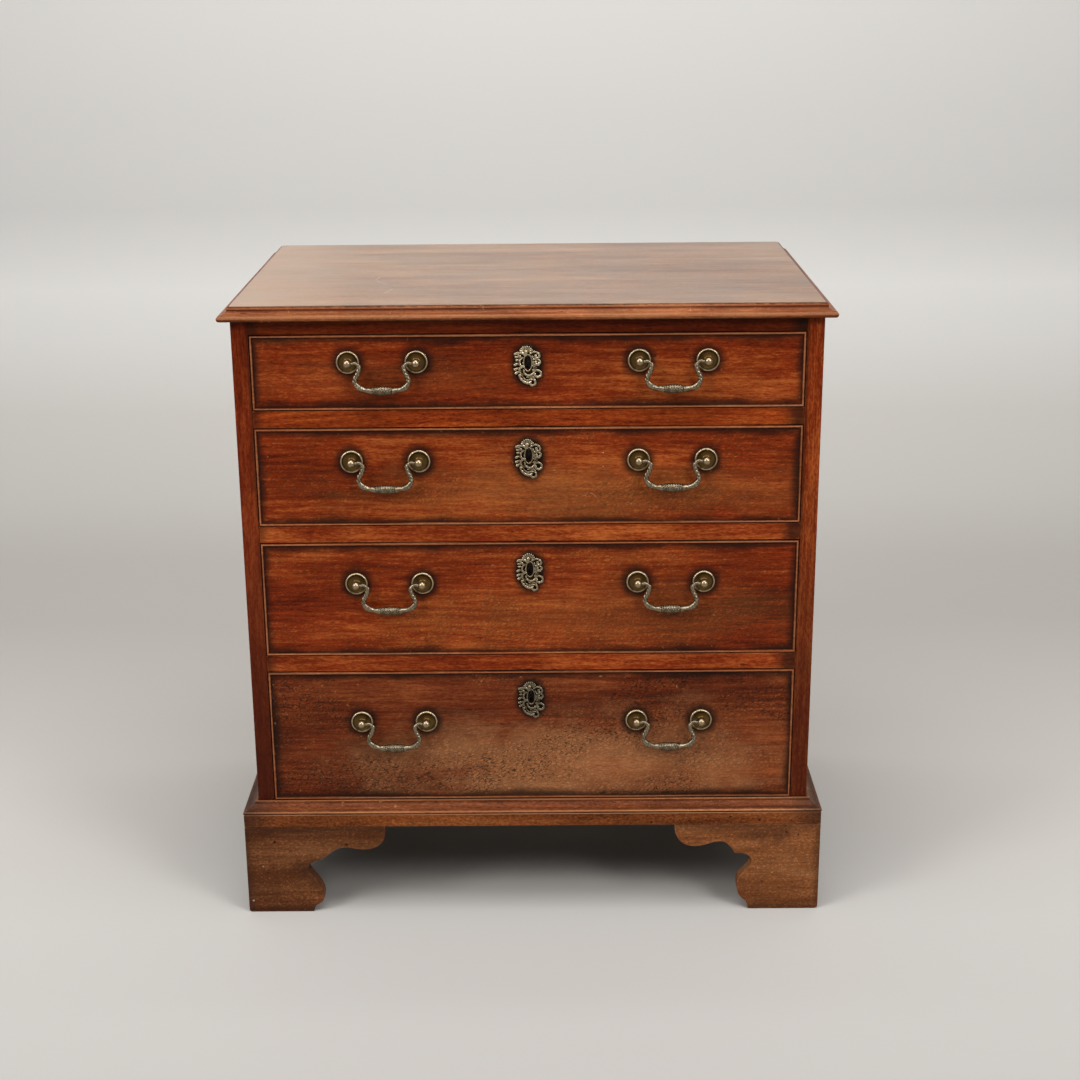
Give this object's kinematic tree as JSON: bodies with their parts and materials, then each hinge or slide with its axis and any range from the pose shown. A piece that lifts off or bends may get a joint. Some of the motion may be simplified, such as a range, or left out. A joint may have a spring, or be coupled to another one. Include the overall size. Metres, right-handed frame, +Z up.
{
  "type": "bachelors chest",
  "caption": "Antique style chest with a moulded top, graduated cock-beaded drawers that slide, swinging bail handles, pierced escutcheons, locks and scrolled bracket feet.",
  "frame": {"origin": "on the floor, at the middle of the chest's outline in plan", "axes": "+Z up, -Y out of the drawer fronts towards the user, +X to the user's right"},
  "size_m": [0.789, 0.5224, 0.8441],
  "materials": {
    "mahogany": "old polished mahogany, red-brown, darker at the edges",
    "mahogany_worn": "mahogany bead worn pale along its round edge",
    "oak": "dry unpolished oak, browned by age",
    "pine": "dry unpolished pine, browned by age",
    "brass": "tarnished cast brass, bright where it is handled",
    "iron": "dull wrought iron"
  },
  "bodies": {
    "carcass": {"top_board": "mahogany", "top_moulding": "mahogany", "side_left": "mahogany", "side_right": "mahogany", "carcass_bottom": "pine", "drawer_divider_1": "mahogany", "drawer_divider_2": "mahogany", "drawer_divider_3": "mahogany", "top_rail_frame": "mahogany", "back_boards": "pine", "base_moulding": "mahogany", "plinth_frame": "mahogany", "foot_front_left": "mahogany", "foot_front_right": "mahogany", "foot_rear_left": "mahogany", "foot_rear_right": "mahogany"},
    "drawer_1": {"drawer_1_front": "mahogany", "drawer_1_side_left": "oak", "drawer_1_side_right": "oak", "drawer_1_back": "oak", "drawer_1_bottom": "oak", "drawer_1_cock_bead": "mahogany_worn", "drawer_1_lock": "iron", "drawer_1_escutcheon": "brass"},
    "drawer_1_lock_bolt": {"drawer_1_lock_bolt": "iron"},
    "drawer_1_bail_left": {"drawer_1_bail_left": "brass"},
    "drawer_1_bail_right": {"drawer_1_bail_right": "brass"},
    "drawer_2": {"drawer_2_front": "mahogany", "drawer_2_side_left": "oak", "drawer_2_side_right": "oak", "drawer_2_back": "oak", "drawer_2_bottom": "oak", "drawer_2_cock_bead": "mahogany_worn", "drawer_2_lock": "iron", "drawer_2_escutcheon": "brass"},
    "drawer_2_lock_bolt": {"drawer_2_lock_bolt": "iron"},
    "drawer_2_bail_left": {"drawer_2_bail_left": "brass"},
    "drawer_2_bail_right": {"drawer_2_bail_right": "brass"},
    "drawer_3": {"drawer_3_front": "mahogany", "drawer_3_side_left": "oak", "drawer_3_side_right": "oak", "drawer_3_back": "oak", "drawer_3_bottom": "oak", "drawer_3_cock_bead": "mahogany_worn", "drawer_3_lock": "iron", "drawer_3_escutcheon": "brass"},
    "drawer_3_lock_bolt": {"drawer_3_lock_bolt": "iron"},
    "drawer_3_bail_left": {"drawer_3_bail_left": "brass"},
    "drawer_3_bail_right": {"drawer_3_bail_right": "brass"},
    "drawer_4": {"drawer_4_front": "mahogany", "drawer_4_side_left": "oak", "drawer_4_side_right": "oak", "drawer_4_back": "oak", "drawer_4_bottom": "oak", "drawer_4_cock_bead": "mahogany_worn", "drawer_4_lock": "iron", "drawer_4_escutcheon": "brass"},
    "drawer_4_lock_bolt": {"drawer_4_lock_bolt": "iron"},
    "drawer_4_bail_left": {"drawer_4_bail_left": "brass"},
    "drawer_4_bail_right": {"drawer_4_bail_right": "brass"}
  },
  "joints": [
    {"name": "drawer_1_slide", "type": "slide", "parent": "carcass", "child": "drawer_1", "axis": [0, -1, 0], "range_m": [0, 0.38]},
    {"name": "drawer_1_lock", "type": "slide", "parent": "drawer_1", "child": "drawer_1_lock_bolt", "axis": [0, 0, 1], "range_m": [0, 0.008]},
    {"name": "drawer_1_bail_left_swing", "type": "hinge", "parent": "drawer_1", "child": "drawer_1_bail_left", "pos_m": [-0.185, -0.25225, 0.77138], "axis": [-1, 0, 0], "range_deg": [-5, 170]},
    {"name": "drawer_1_bail_right_swing", "type": "hinge", "parent": "drawer_1", "child": "drawer_1_bail_right", "pos_m": [0.185, -0.25225, 0.77138], "axis": [-1, 0, 0], "range_deg": [-5, 170]},
    {"name": "drawer_2_slide", "type": "slide", "parent": "carcass", "child": "drawer_2", "axis": [0, -1, 0], "range_m": [0, 0.38]},
    {"name": "drawer_2_lock", "type": "slide", "parent": "drawer_2", "child": "drawer_2_lock_bolt", "axis": [0, 0, 1], "range_m": [0, 0.008]},
    {"name": "drawer_2_bail_left_swing", "type": "hinge", "parent": "drawer_2", "child": "drawer_2_bail_left", "pos_m": [-0.185, -0.25225, 0.64099], "axis": [-1, 0, 0], "range_deg": [-5, 170]},
    {"name": "drawer_2_bail_right_swing", "type": "hinge", "parent": "drawer_2", "child": "drawer_2_bail_right", "pos_m": [0.185, -0.25225, 0.64099], "axis": [-1, 0, 0], "range_deg": [-5, 170]},
    {"name": "drawer_3_slide", "type": "slide", "parent": "carcass", "child": "drawer_3", "axis": [0, -1, 0], "range_m": [0, 0.38]},
    {"name": "drawer_3_lock", "type": "slide", "parent": "drawer_3", "child": "drawer_3_lock_bolt", "axis": [0, 0, 1], "range_m": [0, 0.008]},
    {"name": "drawer_3_bail_left_swing", "type": "hinge", "parent": "drawer_3", "child": "drawer_3_bail_left", "pos_m": [-0.185, -0.25225, 0.47459], "axis": [-1, 0, 0], "range_deg": [-5, 170]},
    {"name": "drawer_3_bail_right_swing", "type": "hinge", "parent": "drawer_3", "child": "drawer_3_bail_right", "pos_m": [0.185, -0.25225, 0.47459], "axis": [-1, 0, 0], "range_deg": [-5, 170]},
    {"name": "drawer_4_slide", "type": "slide", "parent": "carcass", "child": "drawer_4", "axis": [0, -1, 0], "range_m": [0, 0.38]},
    {"name": "drawer_4_lock", "type": "slide", "parent": "drawer_4", "child": "drawer_4_lock_bolt", "axis": [0, 0, 1], "range_m": [0, 0.008]},
    {"name": "drawer_4_bail_left_swing", "type": "hinge", "parent": "drawer_4", "child": "drawer_4_bail_left", "pos_m": [-0.185, -0.25225, 0.27731], "axis": [-1, 0, 0], "range_deg": [-5, 170]},
    {"name": "drawer_4_bail_right_swing", "type": "hinge", "parent": "drawer_4", "child": "drawer_4_bail_right", "pos_m": [0.185, -0.25225, 0.27731], "axis": [-1, 0, 0], "range_deg": [-5, 170]}
  ]
}
